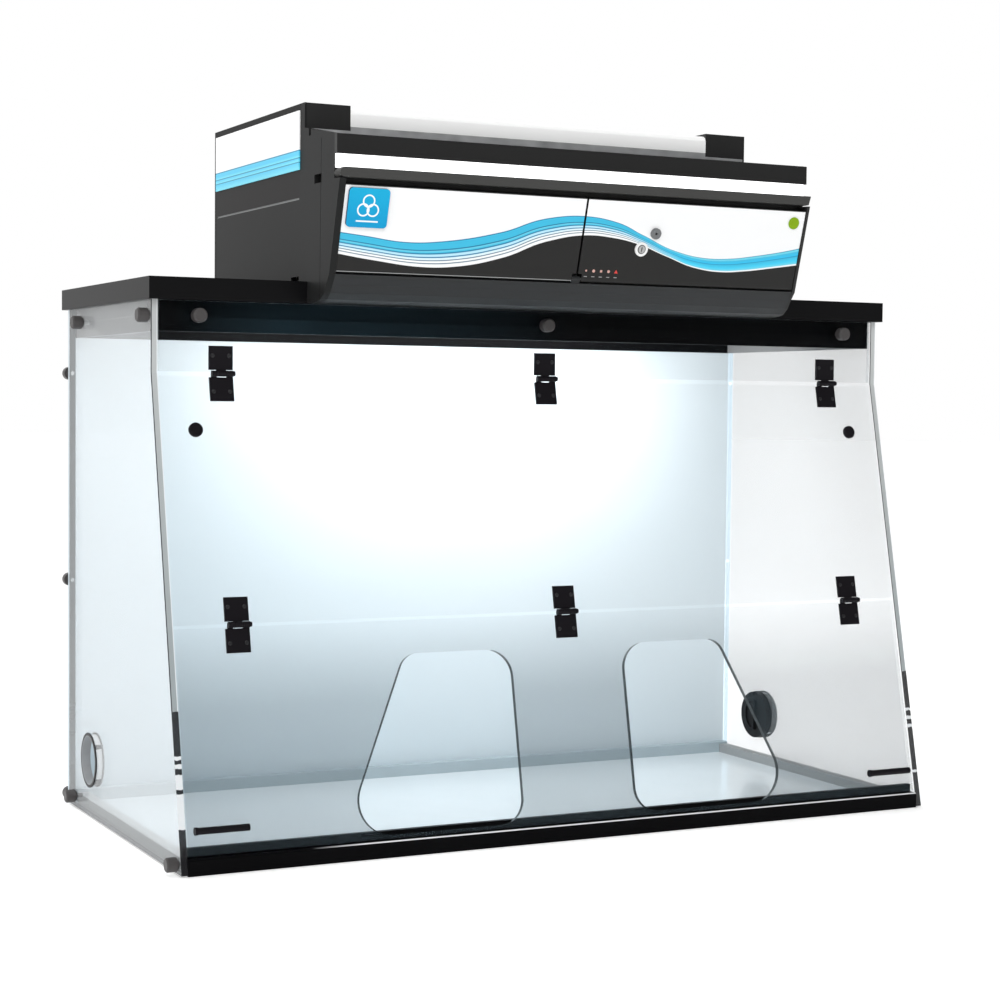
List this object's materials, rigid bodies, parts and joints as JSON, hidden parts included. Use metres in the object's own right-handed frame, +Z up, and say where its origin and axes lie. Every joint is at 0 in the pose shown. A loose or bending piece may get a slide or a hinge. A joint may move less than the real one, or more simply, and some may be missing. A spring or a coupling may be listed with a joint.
{
  "type": "fume hood",
  "caption": "Benchtop filtering fume hood: clear sloped enclosure, two folding front flaps with hand openings, black top plate and a dark filter head.",
  "frame": {"origin": "on the bench plane under the work surface, centred in width, 294 mm behind the front rail's front face", "axes": "+X to the user's right along the width, +Y to the back, +Z up"},
  "size_m": [1.292, 0.614, 1.097],
  "materials": {
    "clear_acrylic": "clear polished acrylic",
    "back_white": "satin pale acrylic",
    "work_white": "smooth white",
    "black_plastic": "fine satin black",
    "gray_rail": "satin light gray",
    "header_black": "satin black powder coat",
    "hinge_black": "moulded black",
    "knob_gray": "moulded dark gray",
    "port_black": "moulded black",
    "chamber_lamp": "diffusing white",
    "head_gray": "satin dark gray powder coat",
    "cover_light_gray": "smooth light gray",
    "band_black": "satin near-black",
    "light_white": "glowing white diffuser",
    "board_white": "white circuit board",
    "board_green": "green circuit board",
    "decal_white": "white printed panel with a blue band",
    "door_white": "white and gray printed front with a blue wave",
    "pin_steel": "satin steel",
    "badge_blue": "blue with a white symbol",
    "port_gray": "gray fitting",
    "button_green": "green",
    "fleece": "white fleece",
    "filter_white": "white moulded casing",
    "deck_steel": "galvanised sheet",
    "motor_black": "black paint",
    "impeller_gray": "moulded gray",
    "inlet_black": "moulded black"
  },
  "bodies": {
    "cabinet": {"left_side_panel": "clear_acrylic", "right_side_panel": "clear_acrylic", "front_top_strip": "clear_acrylic", "back_panel": "back_white", "work_surface": "work_white", "top_plate": "black_plastic", "base_front_rail": "black_plastic", "base_rear_rail": "gray_rail", "base_left_rail": "gray_rail", "base_right_rail": "gray_rail", "header_left": "gray_rail", "header_right": "gray_rail", "header_front": "header_black", "header_rear": "header_black", "strip_hinge_leaves": "hinge_black", "strip_hinge_pins": "hinge_black", "side_knobs": "knob_gray", "back_knobs": "knob_gray", "header_knobs": "knob_gray", "port_rings": "port_black", "chamber_light": "chamber_lamp", "head_left_plate": "head_gray", "head_right_plate": "head_gray", "head_back_plate": "head_gray", "left_end_block": "head_gray", "right_end_block": "head_gray", "right_cheek": "head_gray", "chin_fascia": "head_gray", "visor": "head_gray", "head_top_cover": "cover_light_gray", "head_band": "band_black", "light_diffuser": "light_white", "light_board": "board_white", "control_board": "board_green", "side_decal_panel": "decal_white", "door_hinge_pins": "pin_steel", "prefilters": "fleece", "left_filter": "filter_white", "right_filter": "filter_white", "fan_deck": "deck_steel", "motor_deck": "deck_steel", "fan_motors": "motor_black", "power_inlet": "inlet_black"},
    "upper_sash": {"upper_flap": "clear_acrylic", "upper_flap_leaves": "hinge_black", "flap_hinge_pins": "hinge_black", "flap_knobs": "hinge_black"},
    "lower_sash": {"lower_flap": "clear_acrylic", "lower_flap_leaves": "hinge_black", "finger_grips": "hinge_black"},
    "filter_door_left": {"left_door": "door_white", "badge": "badge_blue"},
    "filter_door_right": {"right_door": "door_white", "lock_body": "pin_steel", "sampling_port": "port_gray", "status_button": "button_green"},
    "door_lock": {"lock_cylinder": "pin_steel"},
    "port_plug": {"right_port_cap": "port_black"},
    "fan_left": {"left_impeller": "impeller_gray"},
    "fan_right": {"right_impeller": "impeller_gray"}
  },
  "joints": [
    {"name": "upper_sash_hinge", "type": "hinge", "parent": "cabinet", "child": "upper_sash", "pos_m": [0, -0.151, 0.697], "axis": [-1, 0, 0], "range_deg": [0, 100]},
    {"name": "lower_sash_hinge", "type": "hinge", "parent": "upper_sash", "child": "lower_sash", "pos_m": [0, -0.22681, 0.33996], "axis": [-1, 0, 0], "range_deg": [0, 90]},
    {"name": "left_filter_door_hinge", "type": "hinge", "parent": "cabinet", "child": "filter_door_left", "pos_m": [0, -0.23961, 0.84821], "axis": [1, 0, 0], "range_deg": [0, 85]},
    {"name": "right_filter_door_hinge", "type": "hinge", "parent": "cabinet", "child": "filter_door_right", "pos_m": [0, -0.23961, 0.84821], "axis": [1, 0, 0], "range_deg": [0, 85]},
    {"name": "door_lock_turn", "type": "hinge", "parent": "filter_door_right", "child": "door_lock", "pos_m": [0.106, -0.25901, 0.89639], "axis": [0, -0.9593, -0.2823], "range_deg": [0, 90]},
    {"name": "port_plug_slide", "type": "slide", "parent": "cabinet", "child": "port_plug", "axis": [-1, 0, 0], "range_m": [0, 0.05]},
    {"name": "left_fan_spin", "type": "hinge", "parent": "cabinet", "child": "fan_left", "pos_m": [-0.2075, 0.055, 0.99], "axis": [0, 0, 1], "continuous": true},
    {"name": "right_fan_spin", "type": "hinge", "parent": "cabinet", "child": "fan_right", "pos_m": [0.1725, 0.055, 0.99], "axis": [0, 0, 1], "continuous": true}
  ]
}
